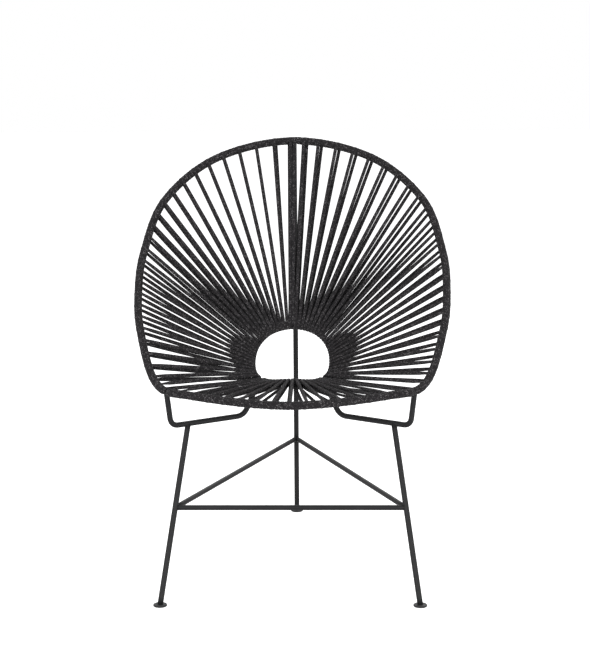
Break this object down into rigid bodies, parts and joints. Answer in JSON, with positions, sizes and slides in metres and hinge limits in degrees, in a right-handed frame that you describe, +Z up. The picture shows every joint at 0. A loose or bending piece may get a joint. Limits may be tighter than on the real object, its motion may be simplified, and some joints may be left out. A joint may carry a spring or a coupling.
{
  "type": "acapulco chair",
  "caption": "Patio chair with an egg-shaped bucket of taut cord strung between a wrapped steel hoop and a small seat ring, on slim braced steel rod legs.",
  "frame": {"origin": "on the floor, at the middle of the footprint between the front feet and the back foot", "axes": "+Z up, the sitter faces -Y, +X on the right as seen from in front of the chair"},
  "size_m": [0.7096, 0.729, 0.9213],
  "materials": {
    "steel": "satin black powder coat with a fine grain",
    "cord": "matt charcoal braided cord, pulled taut",
    "foot": "matt black glide disc"
  },
  "bodies": {
    "root": {"hoop_rod": "steel", "seat_ring_rod": "steel", "bracket_left": "steel", "bracket_right": "steel", "front_leg_left": "steel", "front_leg_right": "steel", "back_leg": "steel", "front_crossbar": "steel", "stretcher_left": "steel", "stretcher_right": "steel", "hoop_wrap_right": "cord", "hoop_wrap_front": "cord", "hoop_wrap_left": "cord", "cord_back_right": "cord", "cord_side_right": "cord", "cord_seat": "cord", "cord_side_left": "cord", "cord_back_left": "cord", "foot_left": "foot", "foot_right": "foot", "foot_back": "foot"}
  },
  "joints": []
}
